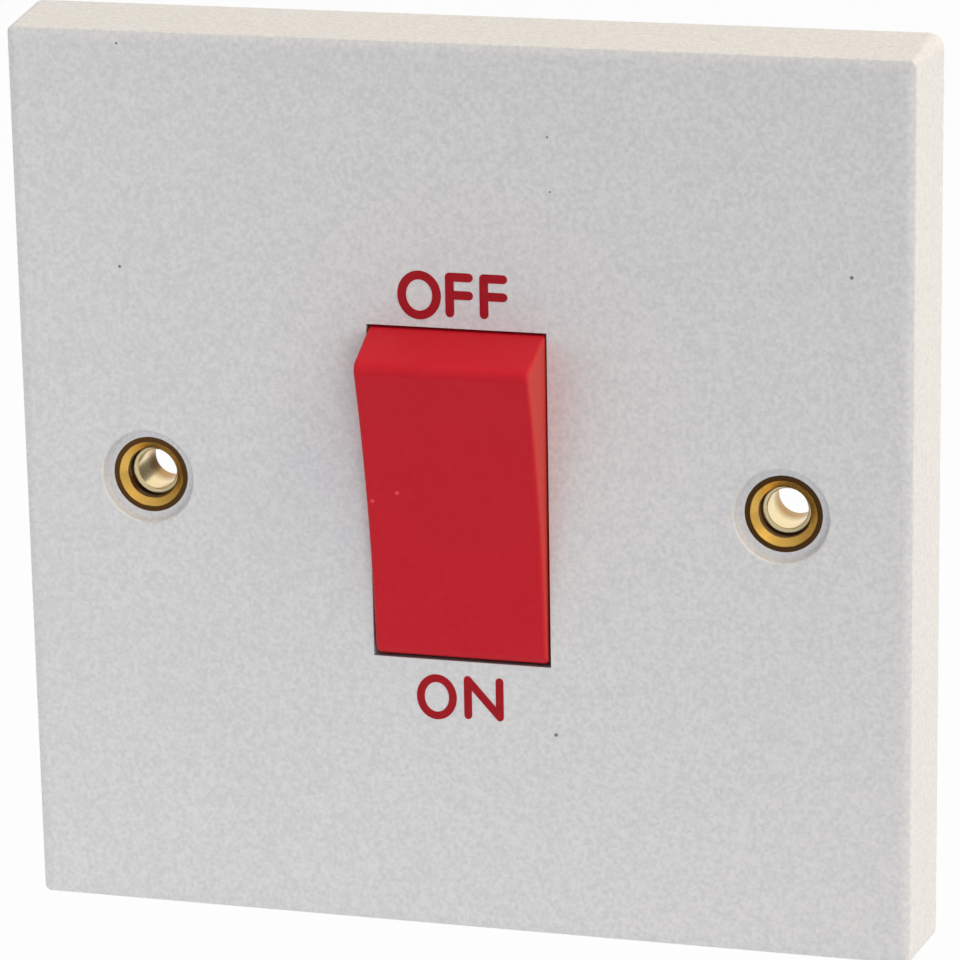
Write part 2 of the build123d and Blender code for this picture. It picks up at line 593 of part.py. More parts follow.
def switch_base():
    """Moulded box behind the plate: two pole chambers, terminal pockets, earth bay and four ears."""
    base = slab(base_outline(), SEAT_Y, BASE_REAR)
    base = fillet(base.faces().sort_by(Axis.Y)[-1].edges(), BASE_EDGE_R)
    base -= slab(earth_bay(), SEAT_Y, FLOOR_Y)
    boss_room = disc(-FIX_X, 0, BOSS_R + SIDE_GAP)
    base -= slab(boss_room, SEAT_Y, BUSH_Y + BUSH_L + SIDE_GAP)
    head_hole_r = SCREW_HEAD_R + HEAD_GAP
    base -= slab(disc(EARTH_X, 0, head_hole_r), FLOOR_Y, BASE_REAR)
    mouth_l = EARTH_L + 2 * (POCKET_GAP + BASE_WALL)
    base -= Pos(EARTH_X, EARTH_TUNNEL_Y, 0) * Cylinder(EARTH_WIRE_R + ROOM / 2, mouth_l)
    for side in POLES.values():
        chamber = area(side * BARRIER_HALF, side * INNER_X, -CHAMBER_Z, CHAMBER_Z)
        pocket_x = TERMINAL_X - BLOCK_W / 2 - POCKET_GAP
        pockets = area(side * pocket_x, side * INNER_X, -INNER_Z, INNER_Z)
        base -= slab(chamber + pockets, SEAT_Y, FLOOR_Y)
        base -= Pos(side * TERMINAL_X, TUNNEL_Y, 0) * Cylinder(WIRE_R + ROOM / 2, 2 * BASE_Z)
        for end in ENDS.values():
            for z in screw_heights(end):
                base -= slab(disc(side * TERMINAL_X, z, head_hole_r), FLOOR_Y, BASE_REAR)
            lug = ear(side, end) - disc(side * EAR_X, end * EAR_Z, BASE_SCREW_R + FIT_GAP)
            base += slab(lug, SEAT_Y, SEAT_Y + EAR_T)
    base -= slab(area(-BARRIER_T, BARRIER_T, -CHAMBER_Z, CHAMBER_Z), SEAT_Y, BARRIER_Y)
    for side in POLES.values():
        prong_half = SLOT_HALF - SIDE_GAP
        prong = area(side * (CRADLE_X + SIDE_GAP), side * (CRADLE_END - SIDE_GAP), -prong_half, prong_half)
        base += slab(prong, PIVOT_Y + SLOT_HALF, FLOOR_Y + OVERLAP)
        web = area(side * (CRADLE_X + SIDE_GAP), side * (INNER_X + OVERLAP), -prong_half, prong_half)
        base += slab(web, SEAT_Y, FLOOR_Y + OVERLAP)
    return base


def earth_screw():
    """Single screw of the earth terminal."""
    return terminal_screw(EARTH_X, 0, EARTH_TUNNEL_Y, EARTH_WIRE_R)


nodes = {
    "front_plate": front_plate(),
    "left_fixing_bush": fixing_bush(-1),
    "right_fixing_bush": fixing_bush(1),
    "rocker": rocker(),
    "switch_base": switch_base(),
    "terminal_screws": terminal_screws(),
    "base_screws": base_screws(),
    "earth_terminal": earth_terminal(),
    "earth_screw": earth_screw(),
}
for pole, side in POLES.items():
    nodes[pole + "_plunger"] = plunger(side)
    nodes[pole + "_plunger_spring"] = plunger_spring(side)
    nodes[pole + "_moving_contact"] = moving_contact(side)
    nodes[pole + "_moving_tip"] = moving_tip(side)
    nodes[pole + "_fixed_tip"] = fixed_tip(side)
    nodes[pole + "_load_strap"] = load_strap(side)
    nodes[pole + "_supply_strap"] = supply_strap(side)
    for end_name, end in ENDS.items():
        nodes[f"{pole}_{end_name}_terminal"] = terminal(side, end)

os.makedirs("parts", exist_ok=True)
for name, part in nodes.items():
    export_step(part, f"parts/{name}.step")
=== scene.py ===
import json
import math

import bmesh
import bpy
from mathutils import Matrix, Vector
from mathutils.geometry import delaunay_2d_cdt


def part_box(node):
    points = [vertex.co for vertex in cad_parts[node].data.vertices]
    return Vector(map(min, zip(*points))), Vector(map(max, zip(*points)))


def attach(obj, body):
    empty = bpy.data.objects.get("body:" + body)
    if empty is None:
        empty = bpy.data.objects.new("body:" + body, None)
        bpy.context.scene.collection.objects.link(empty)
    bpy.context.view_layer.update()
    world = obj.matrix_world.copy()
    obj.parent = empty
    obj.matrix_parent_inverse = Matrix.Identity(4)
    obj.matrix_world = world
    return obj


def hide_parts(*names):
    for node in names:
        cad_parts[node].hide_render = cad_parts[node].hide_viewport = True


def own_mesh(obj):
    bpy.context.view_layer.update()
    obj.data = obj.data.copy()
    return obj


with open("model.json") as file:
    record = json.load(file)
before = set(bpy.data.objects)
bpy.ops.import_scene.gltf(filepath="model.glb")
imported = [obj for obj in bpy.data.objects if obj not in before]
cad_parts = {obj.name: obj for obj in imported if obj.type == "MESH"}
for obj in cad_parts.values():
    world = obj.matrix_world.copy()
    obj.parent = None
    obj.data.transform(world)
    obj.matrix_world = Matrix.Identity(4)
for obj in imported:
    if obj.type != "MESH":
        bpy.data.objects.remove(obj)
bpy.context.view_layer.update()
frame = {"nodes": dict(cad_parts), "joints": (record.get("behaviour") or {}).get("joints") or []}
scene = bpy.context.scene
scene.view_settings.view_transform = "Standard"

# Front plate
# One compression moulding in white urea, with a leaning rim and rounded edges. It is satin from a
# finely etched tool, a little cloudy as filled urea is, and a few dark specks are moulded into it.
# The etched grain is finer than the render can show, so it is drawn about five times too coarse.
MM = 0.001


def linear(colour):
    """Linear RGBA of an sRGB hex colour."""
    parts = [int(colour[i : i + 2], 16) / 255 for i in (1, 3, 5)]
    return [c / 12.92 if c <= 0.04045 else ((c + 0.055) / 1.055) ** 2.4 for c in parts] + [1.0]


def add_node(tree, kind, links=None, inputs=None, **settings):
    """Adds a node, sets it, and links its inputs from the given sockets."""
    made = tree.nodes.new(kind)
    for name, value in settings.items():
        setattr(made, name, value)
    for name, value in (inputs or {}).items():
        made.inputs[name].default_value = value
    for name, socket in (links or {}).items():
        tree.links.new(socket, made.inputs[name])
    return made


def start_material(name):
    """A new material with its tree, shader and object coordinates."""
    material = bpy.data.materials.new(name)
    material.use_nodes = True
    tree = material.node_tree
    place = add_node(tree, "ShaderNodeTexCoord").outputs["Object"]
    return material, tree, tree.nodes["Principled BSDF"], place


def set_surface(tree, shader, colour, roughness, bump):
    """Gives the shader a colour, a roughness and a bump, each from its node."""
    tree.links.new(colour.outputs["Result"], shader.inputs["Base Color"])
    tree.links.new(roughness.outputs[0], shader.inputs["Roughness"])
    tree.links.new(bump.outputs["Normal"], shader.inputs["Normal"])


def finish_nodes(material, *nodes):
    """Gives CAD nodes a material in place of their plain one."""
    for node in nodes:
        slots = frame["nodes"][node].data.materials
        slots.clear()
        slots.append(material)


plate_low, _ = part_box("front_plate")
PLATE_WHITE = "#DEDEE1"
PLATE_CLOUD = "#DBDBDF"
PLATE_MOTTLE = "#CCCDD2"
SPECK = "#6E6A64"
CLOUD_MM = 9.0
MOTTLE_MM = 0.4
GRAIN_MM = 0.3
# Each speck: across, up and radius, in millimetres
SPECKS_MM = [
    (-32.1, 20.1, 0.19),
    (8.9, -22.4, 0.22),
    (36.5, 22.5, 0.22),
    (-31.6, 41.0, 0.15),
    (8.8, 34.0, 0.13),
    (9.0, 29.0, 0.12),
]


def add_specks(tree, place, colour, shade, specks):
    """Mixes round specks, each a centre in metres and a radius in millimetres, into a colour."""
    for centre, radius in specks:
        away = add_node(tree, "ShaderNodeVectorMath", {0: place}, {1: centre}, operation="DISTANCE")
        mark = add_node(
            tree,
            "ShaderNodeMapRange",
            {"Value": away.outputs["Value"]},
            {"From Min": 0.5 * radius * MM, "From Max": radius * MM, "To Min": 1.0, "To Max": 0.0},
        )
        colour = add_node(
            tree,
            "ShaderNodeMix",
            {"Factor": mark.outputs["Result"], "A": colour.outputs["Result"]},
            {"B": linear(shade)},
            data_type="RGBA",
        )
    return colour


urea, tree, shader, place = start_material("moulded_urea")
cloud = add_node(
    tree, "ShaderNodeTexNoise", {"Vector": place}, {"Scale": 1 / (CLOUD_MM * MM), "Detail": 3.0}
)
colour = add_node(
    tree,
    "ShaderNodeMix",
    {"Factor": cloud.outputs["Fac"]},
    {"A": linear(PLATE_CLOUD), "B": linear(PLATE_WHITE)},
    data_type="RGBA",
)
mottle = add_node(
    tree, "ShaderNodeTexNoise", {"Vector": place}, {"Scale": 1 / (MOTTLE_MM * MM), "Detail": 4.0}
)
patchy = add_node(
    tree,
    "ShaderNodeMapRange",
    {"Value": mottle.outputs["Fac"]},
    {"From Min": 0.35, "From Max": 0.7, "To Min": 0.0, "To Max": 1.0},
)
colour = add_node(
    tree,
    "ShaderNodeMix",
    {"Factor": patchy.outputs["Result"], "A": colour.outputs["Result"]},
    {"B": linear(PLATE_MOTTLE)},
    data_type="RGBA",
)
dots = [(Vector((across * MM, plate_low.y, up * MM)), radius) for across, up, radius in SPECKS_MM]
colour = add_specks(tree, place, colour, SPECK, dots)
satin = add_node(
    tree, "ShaderNodeMapRange", {"Value": mottle.outputs["Fac"]}, {"To Min": 0.38, "To Max": 0.5}
)
grain = add_node(
    tree, "ShaderNodeTexNoise", {"Vector": place}, {"Scale": 1 / (GRAIN_MM * MM), "Detail": 2.0}
)
bump = add_node(
    tree, "ShaderNodeBump", {"Height": grain.outputs["Fac"]}, {"Strength": 0.06, "Distance": 0.03 * MM}
)
set_surface(tree, shader, colour, satin, bump)
shader.inputs["IOR"].default_value = 1.55
finish_nodes(urea, "front_plate")

# Lettering
# OFF above the rocker and ON below it, printed on the face in rounded strokes of dark red ink.
# The ink is a little uneven, darker where it lies thick.
FACE_Y = plate_low.y
INK_MM = 0.04
INK_RED, INK_DARK = "#AE1020", "#900A18"
INK_PATCH_MM = 0.7
ARC_STEPS, OVAL_STEPS = 8, 40
# How the outlines are filled: the mode that keeps their insides, and how close points are joined
KEEP_INSIDE, MERGE_MM = 1, 1e-4
ink, tree, shader, place = start_material("printed_ink")
patch = add_node(
    tree, "ShaderNodeTexNoise", {"Vector": place}, {"Scale": 1 / (INK_PATCH_MM * MM), "Detail": 3.0}
)
colour = add_node(
    tree,
    "ShaderNodeMix",
    {"Factor": patch.outputs["Fac"]},
    {"A": linear(INK_RED), "B": linear(INK_DARK)},
    data_type="RGBA",
)
gloss = add_node(
    tree, "ShaderNodeMapRange", {"Value": patch.outputs["Fac"]}, {"To Min": 0.35, "To Max": 0.55}
)
bump = add_node(
    tree, "ShaderNodeBump", {"Height": patch.outputs["Fac"]}, {"Strength": 0.2, "Distance": 0.02 * MM}
)
set_surface(tree, shader, colour, gloss, bump)
shader.inputs["Specular IOR Level"].default_value = 0.2


def capsule(a, b, radius):
    """Outline of a straight stroke with round ends, in plan."""
    along = b - a
    start = math.atan2(along.y, along.x)
    ring = []
    for centre, first in ((b, start - math.pi / 2), (a, start + math.pi / 2)):
        for i in range(ARC_STEPS + 1):
            angle = first + math.pi * i / ARC_STEPS
            ring.append(centre + radius * Vector((math.cos(angle), math.sin(angle))))
    return ring


def oval(x0, x1, z0, z1):
    """Closed oval stroke."""
    cx, cz, rx, rz = (x0 + x1) / 2, (z0 + z1) / 2, (x1 - x0) / 2, (z1 - z0) / 2
    turn = [2 * math.pi * i / OVAL_STEPS for i in range(OVAL_STEPS + 1)]
    return [(cx + rx * math.cos(a), cz + rz * math.sin(a)) for a in turn]


def print_letter(name, strokes, width):
    """A letter as a thin film of ink, from strokes that are lists of (x, z) points in millimetres."""
    points, faces = [], []
    for stroke in strokes:
        for a, b in zip(stroke, stroke[1:]):
            ring = capsule(Vector(a), Vector(b), width / 2)
            faces.append(list(range(len(points), len(points) + len(ring))))
            points += ring
    flat, _, triangles, _, _, inked = delaunay_2d_cdt(points, [], faces, KEEP_INSIDE, MERGE_MM)
    film = bmesh.new()
    corners = [film.verts.new((p.x * MM, FACE_Y, p.y * MM)) for p in flat]
    for triangle, strokes_over in zip(triangles, inked):
        if strokes_over:
            film.faces.new([corners[i] for i in triangle])
    bmesh.ops.recalc_face_normals(film, faces=film.faces[:])
    raised = bmesh.ops.extrude_face_region(film, geom=film.faces[:])
    lifted = [g for g in raised["geom"] if isinstance(g, bmesh.types.BMVert)]
    bmesh.ops.translate(film, verts=lifted, vec=(0, -INK_MM * MM, 0))
    bmesh.ops.recalc_face_normals(film, faces=film.faces[:])
    data = bpy.data.meshes.new(name)
    film.to_mesh(data)
    film.free()
    letter = bpy.data.objects.new(name, data)
    scene.collection.objects.link(letter)
    data.materials.append(ink)
    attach(letter, "plate")


# Each O: left, right, low and high, and all sizes in millimetres
OFF_O, ON_O = (-5.05, -1.75, 17.0, 20.75), (-4.05, -0.95, -21.35, -17.7)
OFF_STROKE, OFF_BASE, OFF_TOP = 0.82, 17.35, 20.7
F_LEFTS, F_WIDTH = (-0.52, 2.7), 1.8
print_letter("off_o", [oval(*OFF_O)], OFF_STROKE)
middle = (OFF_BASE + OFF_TOP) / 2
for number, left in enumerate(F_LEFTS):
    print_letter(
        f"off_f{number + 1}",
        [
            [(left, OFF_BASE), (left, OFF_TOP), (left + F_WIDTH, OFF_TOP)],
            [(left, middle), (left + F_WIDTH, middle)],
        ],
        OFF_STROKE,
    )
ON_STROKE, ON_BASE, ON_TOP = 0.75, -21.1, -17.65
N_LEFT, N_RIGHT = 0.5, 3.55
print_letter("on_o", [oval(*ON_O)], ON_STROKE)
print_letter(
    "on_n", [[(N_LEFT, ON_BASE), (N_LEFT, ON_TOP), (N_RIGHT, ON_BASE), (N_RIGHT, ON_TOP)]], ON_STROKE
)

# Fixing bushes
# Two brass bushes turned from bar and pressed into the plate, each with a countersunk mouth and a
# ledge above its bore. Fine rings from the tool run round them, drawn wider apart than they are so
# that they show.
BRASS_RIM_SHADE, BRASS_CONE, BRASS_CORNER_SHADE = "#74502C", "#DDB25C", "#5A3C1C"
BRASS_LIP_HIGHLIGHT, BRASS_BORE_HIGHLIGHT, BRASS_DEEP_SHADE = "#FFF6CC", "#FFE8B2", "#BC904C"
TOOL_MM, EDGE_WANDER_MM = 0.12, 1.5
# Depths below the mouth where the barrel and the painted shade deep in the bore begin and are full
BARREL_MM, BORE_MM = (2.0, 2.4), (4.0, 5.6)
# Shares of the bush's radius where the bore, lip, corner, cone and rim begin and end
BORE_END, LIP_START, LIP_END, CORNER_START = 0.54, 0.56, 0.6, 0.63
CORNER_END, CONE_START, CONE_END, RIM_START = 0.672, 0.69, 0.85, 0.875
WANDER = 0.012
bush_low, bush_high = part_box("right_fixing_bush")
bush_centre = (bush_low + bush_high) / 2


def turned_radius(tree, place, *axes):
    """Distance to the nearest of the axes, each one mirrored about the one before it."""
    for x, z in axes:
        folded = add_node(tree, "ShaderNodeVectorMath", {0: place}, operation="ABSOLUTE")
        shifted = add_node(
            tree, "ShaderNodeVectorMath", {0: folded.outputs[0]}, {1: (x, 0, z)}, operation="SUBTRACT"
        )
        place = shifted.outputs[0]
    flat = add_node(tree, "ShaderNodeVectorMath", {0: place}, {1: (1, 0, 1)}, operation="MULTIPLY")
    return add_node(tree, "ShaderNodeVectorMath", {0: flat.outputs[0]}, operation="LENGTH").outputs["Value"]


def tool_rings(tree, place, radius, pitch):
    """Uneven rings left by a turning tool, across faces and along bores alike."""
    depth = add_node(tree, "ShaderNodeSeparateXYZ", {0: place})
    feed = add_node(tree, "ShaderNodeMath", {0: radius, 1: depth.outputs["Y"]}, operation="ADD")
    return add_node(
        tree,
        "ShaderNodeTexNoise",
        {"W": feed.outputs[0]},
        {"Scale": 1 / pitch, "Detail": 2.0},
        noise_dimensions="1D",
    ).outputs["Fac"]


# The rim, the corner of the ledge and the depth of the bore are painted brown as painted shade, along an
# uneven line. The cone stays yellow. The bore is bare metal, and the lip is nearly not metallic and is
# rougher; both are painted pale as painted highlight.
brass, tree, shader, place = start_material("turned_brass_bush")
radius = turned_radius(tree, place, (bush_centre.x, bush_centre.z))
BUSH_R = (bush_high.x - bush_low.x) / 2
share = add_node(tree, "ShaderNodeMath", {0: radius}, {1: BUSH_R}, operation="DIVIDE")
edge_wander = add_node(
    tree, "ShaderNodeTexNoise", {"Vector": place}, {"Scale": 1 / (EDGE_WANDER_MM * MM), "Detail": 3.0}
)
wander = add_node(
    tree,
    "ShaderNodeMapRange",
    {"Value": edge_wander.outputs["Fac"]},
    {"From Min": 0.3, "From Max": 0.7, "To Min": -WANDER, "To Max": WANDER},
)
line = add_node(
    tree, "ShaderNodeMath", {0: share.outputs[0], 1: wander.outputs["Result"]}, operation="ADD"
)
zones_light_and_shade = add_node(tree, "ShaderNodeValToRGB", {"Fac": line.outputs[0]})
# The pale lip is a painted highlight, and the dark corner and rim are painted shade.
lip_highlight_stop, corner_shade_stop = zones_light_and_shade.color_ramp.elements
lip_highlight_stop.position, lip_highlight_stop.color = LIP_END, linear(BRASS_LIP_HIGHLIGHT)
corner_shade_stop.position, corner_shade_stop.color = CORNER_START, linear(BRASS_CORNER_SHADE)
for position, shade in (
    (CORNER_END, BRASS_CORNER_SHADE),
    (CONE_START, BRASS_CONE),
    (CONE_END, BRASS_CONE),
    (RIM_START, BRASS_RIM_SHADE),
):
    zones_light_and_shade.color_ramp.elements.new(position).color = linear(shade)
inside = add_node(tree, "ShaderNodeSeparateXYZ", {0: place})
behind = add_node(
    tree,
    "ShaderNodeMapRange",
    {"Value": inside.outputs["Y"]},
    {"From Min": bush_low.y + BARREL_MM[0] * MM, "From Max": bush_low.y + BARREL_MM[1] * MM},
)
barrel = add_node(
    tree,
    "ShaderNodeMix",
    {"Factor": behind.outputs["Result"], "A": zones_light_and_shade.outputs["Color"]},
    {"B": linear(BRASS_CONE)},
    data_type="RGBA",
)
# Deeper in the bore the pale brass, a painted highlight, turns brown: painted shade.
deep_shade = add_node(
    tree,
    "ShaderNodeMapRange",
    {"Value": inside.outputs["Y"]},
    {"From Min": bush_low.y + BORE_MM[0] * MM, "From Max": bush_low.y + BORE_MM[1] * MM},
)
bore = add_node(
    tree,
    "ShaderNodeMix",
    {"Factor": deep_shade.outputs["Result"]},
    {"A": linear(BRASS_BORE_HIGHLIGHT), "B": linear(BRASS_DEEP_SHADE)},
    data_type="RGBA",
)
outside = add_node(
    tree,
    "ShaderNodeMapRange",
    {"Value": share.outputs[0]},
    {"From Min": BORE_END, "From Max": LIP_START},
)
colour = add_node(
    tree,
    "ShaderNodeMix",
    {
        "Factor": outside.outputs["Result"],
        "A": bore.outputs["Result"],
        "B": barrel.outputs["Result"],
    },
    data_type="RGBA",
)
rings = tool_rings(tree, place, radius, TOOL_MM * MM)
gloss = add_node(tree, "ShaderNodeMapRange", {"Value": rings}, {"To Min": 0.22, "To Max": 0.3})
within = add_node(
    tree,
    "ShaderNodeMapRange",
    {"Value": share.outputs[0]},
    {"From Min": LIP_END, "From Max": CORNER_START, "To Min": 1.0, "To Max": 0.0},
)
lip = add_node(
    tree,
    "ShaderNodeMath",
    {0: within.outputs["Result"], 1: outside.outputs["Result"]},
    operation="MULTIPLY",
)
lacquer = add_node(tree, "ShaderNodeMapRange", {"Value": lip.outputs[0]}, {"To Min": 1.0, "To Max": 0.1})
rubbed = add_node(tree, "ShaderNodeMapRange", {"Value": lip.outputs[0]}, {"To Max": 0.35})
gloss = add_node(
    tree, "ShaderNodeMath", {0: gloss.outputs["Result"], 1: rubbed.outputs["Result"]}, operation="ADD"
)
bump = add_node(tree, "ShaderNodeBump", {"Height": rings}, {"Strength": 0.03, "Distance": 0.02 * MM})
set_surface(tree, shader, colour, gloss, bump)
tree.links.new(lacquer.outputs["Result"], shader.inputs["Metallic"])
finish_nodes(brass, "left_fixing_bush", "right_fixing_bush")

# Rocker
# One red moulding in ABS with a dished finger face and a crest at each end, on two pivot stubs.
# It is satin and slightly clouded, with light rubbing on the finger face and two pale specks. Its sides
# are painted paler as painted light. Its grain too is drawn coarser than the tool left it, so that it
# shows.
ROCKER_RED, ROCKER_CLOUD, RUBBED, SIDE_LIGHT_RED = "#C71D2C", "#C01A29", "#CB2533", "#CA5844"
ROCKER_CLOUD_MM, RUB_MM, FINE_MM = 5.0, 0.7, 0.25
PALE_SPECK = "#E04C5A"
# Each pale speck: across, back, up and radius, in millimetres
PALE_SPECKS_MM = [(-5.19, -11.02, 0.74, 0.26), (-7.61, -10.83, -0.24, 0.24)]
red, tree, shader, place = start_material("red_abs_moulding")
cloud = add_node(
    tree, "ShaderNodeTexNoise", {"Vector": place}, {"Scale": 1 / (ROCKER_CLOUD_MM * MM), "Detail": 3.0}
)
colour = add_node(
    tree,
    "ShaderNodeMix",
    {"Factor": cloud.outputs["Fac"]},
    {"A": linear(ROCKER_CLOUD), "B": linear(ROCKER_RED)},
    data_type="RGBA",
)
rub = add_node(
    tree, "ShaderNodeTexNoise", {"Vector": place}, {"Scale": 1 / (RUB_MM * MM), "Detail": 4.0}
)
rubbed = add_node(
    tree,
    "ShaderNodeMapRange",
    {"Value": rub.outputs["Fac"]},
    {"From Min": 0.5, "From Max": 0.8, "To Min": 0.0, "To Max": 0.6},
)
colour = add_node(
    tree,
    "ShaderNodeMix",
    {"Factor": rubbed.outputs["Result"], "A": colour.outputs["Result"]},
    {"B": linear(RUBBED)},
    data_type="RGBA",
)
# Faces turned to the left or right are painted paler: painted light, as if lit from the side.
facing = add_node(tree, "ShaderNodeTexCoord").outputs["Normal"]
sideways = add_node(
    tree, "ShaderNodeVectorMath", {0: facing}, {1: (1, 0, 0)}, operation="DOT_PRODUCT"
)
flank = add_node(tree, "ShaderNodeMath", {0: sideways.outputs["Value"]}, operation="ABSOLUTE")
painted_side_light = add_node(
    tree,
    "ShaderNodeMapRange",
    {"Value": flank.outputs[0]},
    {"From Min": 0.5, "From Max": 0.9, "To Min": 0.0, "To Max": 0.35},
)
colour = add_node(
    tree,
    "ShaderNodeMix",
    {"Factor": painted_side_light.outputs["Result"], "A": colour.outputs["Result"]},
    {"B": linear(SIDE_LIGHT_RED)},
    data_type="RGBA",
)
dots = [(Vector(centre) * MM, radius) for *centre, radius in PALE_SPECKS_MM]
colour = add_specks(tree, place, colour, PALE_SPECK, dots)
satin = add_node(
    tree, "ShaderNodeMapRange", {"Value": rub.outputs["Fac"]}, {"To Min": 0.4, "To Max": 0.55}
)
fine = add_node(
    tree, "ShaderNodeTexNoise", {"Vector": place}, {"Scale": 1 / (FINE_MM * MM), "Detail": 2.0}
)
bump = add_node(
    tree, "ShaderNodeBump", {"Height": fine.outputs["Fac"]}, {"Strength": 0.08, "Distance": 0.03 * MM}
)
set_surface(tree, shader, colour, satin, bump)
shader.inputs["IOR"].default_value = 1.5
shader.inputs["Specular IOR Level"].default_value = 0.14
finish_nodes(red, "rocker")

# Plungers
# Two natural nylon pins with round noses, moulded, sliding in tubes behind the rocker. Nylon is
# milky, a little yellow and waxy, with faint rub lines along its stroke, drawn wide enough to show.
NYLON, NYLON_WORN = "#DCD6C4", "#CBC4AE"
STROKE_MM = (0.25, 3.0, 0.25)
nylon, tree, shader, place = start_material("moulded_nylon")
stroke = add_node(
    tree,
    "ShaderNodeMapping",
    {"Vector": place},
    {"Scale": [1 / (size * MM) for size in STROKE_MM]},
)
lines = add_node(
    tree, "ShaderNodeTexNoise", {"Vector": stroke.outputs[0]}, {"Scale": 1.0, "Detail": 3.0}
)
colour = add_node(
    tree,
    "ShaderNodeMix",
    {"Factor": lines.outputs["Fac"]},
    {"A": linear(NYLON), "B": linear(NYLON_WORN)},
    data_type="RGBA",
)
waxy = add_node(
    tree, "ShaderNodeMapRange", {"Value": lines.outputs["Fac"]}, {"To Min": 0.3, "To Max": 0.5}
)
bump = add_node(
    tree, "ShaderNodeBump", {"Height": lines.outputs["Fac"]}, {"Strength": 0.1, "Distance": 0.02 * MM}
)
set_surface(tree, shader, colour, waxy, bump)
shader.inputs["IOR"].default_value = 1.53
finish_nodes(nylon, "neutral_plunger", "line_plunger")

# Plunger springs
# Two coils of drawn spring steel wire that push the plungers out. The wire is grey with a faint
# straw tint from heat and fine marks from the die, drawn coarser than they are so that they show.
WIRE_GREY, WIRE_STRAW = "#9A9A98", "#857A66"
TINT_MM, DIE_MM = 1.6, 0.1
wire, tree, shader, place = start_material("drawn_spring_steel")
tint = add_node(
    tree, "ShaderNodeTexNoise", {"Vector": place}, {"Scale": 1 / (TINT_MM * MM), "Detail": 2.0}
)
colour = add_node(
    tree,
    "ShaderNodeMix",
    {"Factor": tint.outputs["Fac"]},
    {"A": linear(WIRE_GREY), "B": linear(WIRE_STRAW)},
    data_type="RGBA",
)
die = add_node(
    tree, "ShaderNodeTexNoise", {"Vector": place}, {"Scale": 1 / (DIE_MM * MM), "Detail": 2.0}
)
gloss = add_node(
    tree, "ShaderNodeMapRange", {"Value": die.outputs["Fac"]}, {"To Min": 0.2, "To Max": 0.4}
)
bump = add_node(
    tree, "ShaderNodeBump", {"Height": die.outputs["Fac"]}, {"Strength": 0.1, "Distance": 0.01 * MM}
)
set_surface(tree, shader, colour, gloss, bump)
shader.inputs["Metallic"].default_value = 1.0
COIL_MM, WIRE_MM, TURNS = 1.75, 0.3, 4
STEPS, SIDES = 28, 10
joints = {joint["name"]: joint for joint in frame["joints"]}
for pole in ("neutral", "line"):
    slide = joints[pole + "_plunger_slide"]
    stroke = Vector(slide["axis"]).normalized()
    across = Vector((1, 0, 0))
    beside = stroke.cross(across)
    solid = frame["nodes"][pole + "_plunger_spring"]
    low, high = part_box(pole + "_plunger_spring")
    start = Vector(joints["rocker_tilt"]["pos_m"])
    start.x = (low.x + high.x) / 2
    reach = [(solid.matrix_world @ v.co - start).dot(stroke) for v in solid.data.vertices]
    first, last = min(reach) + WIRE_MM * MM, max(reach) - WIRE_MM * MM
    coil = bmesh.new()
    hoops = []
    for i in range(TURNS * STEPS + 1):
        angle = 2 * math.pi * i / STEPS
        outward = across * math.cos(angle) + beside * math.sin(angle)
        centre = start + stroke * (first + (last - first) * i / (TURNS * STEPS)) + outward * COIL_MM * MM
        hoop = []
        for side in range(SIDES):
            turn = 2 * math.pi * side / SIDES
            spoke = outward * math.cos(turn) + stroke * math.sin(turn)
            hoop.append(coil.verts.new(centre + WIRE_MM * MM * spoke))
        hoops.append(hoop)
    for one, two in zip(hoops, hoops[1:]):
        for side in range(SIDES):
            after = (side + 1) % SIDES
            coil.faces.new((one[side], one[after], two[after], two[side])).smooth = True
    coil.faces.new(hoops[0])
    coil.faces.new(hoops[-1])
    bmesh.ops.recalc_face_normals(coil, faces=coil.faces[:])
    data = bpy.data.meshes.new(pole + "_spring_coil")
    coil.to_mesh(data)
    coil.free()
    data.materials.append(wire)
    spring = bpy.data.objects.new(pole + "_spring_coil", data)
    scene.collection.objects.link(spring)
    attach(spring, "rocker")
    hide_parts(pole + "_plunger_spring")
    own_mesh(spring)

# Moving contacts and straps
# See-saw bars and folded straps, blanked from rolled copper strip. Rolling lines run along them,
# drawn some ten times too wide so that they show, and the copper has dulled to brown in patches.
COPPER, COPPER_DULL = "#B8734E", "#8A5238"
ROLL_MM = (0.2, 0.2, 8.0)
DULL_MM = 3.0
copper, tree, shader, place = start_material("rolled_copper")
along = add_node(
    tree,
    "ShaderNodeMapping",
    {"Vector": place},
    {"Scale": [1 / (size * MM) for size in ROLL_MM]},
)
rolled = add_node(
    tree, "ShaderNodeTexNoise", {"Vector": along.outputs[0]}, {"Scale": 1.0, "Detail": 2.0}
)
dull = add_node(
    tree, "ShaderNodeTexNoise", {"Vector": place}, {"Scale": 1 / (DULL_MM * MM), "Detail": 4.0}
)
colour = add_node(
    tree,
    "ShaderNodeMix",
    {"Factor": dull.outputs["Fac"]},
    {"A": linear(COPPER), "B": linear(COPPER_DULL)},
    data_type="RGBA",
)
gloss = add_node(
    tree, "ShaderNodeMapRange", {"Value": dull.outputs["Fac"]}, {"To Min": 0.24, "To Max": 0.45}
)
bump = add_node(
    tree, "ShaderNodeBump", {"Height": rolled.outputs["Fac"]}, {"Strength": 0.15, "Distance": 0.01 * MM}
)
set_surface(tree, shader, colour, gloss, bump)
shader.inputs["Metallic"].default_value = 1.0
finish_nodes(copper, "neutral_moving_contact", "line_moving_contact")
finish_nodes(copper, "neutral_load_strap", "line_load_strap", "neutral_supply_strap", "line_supply_strap")

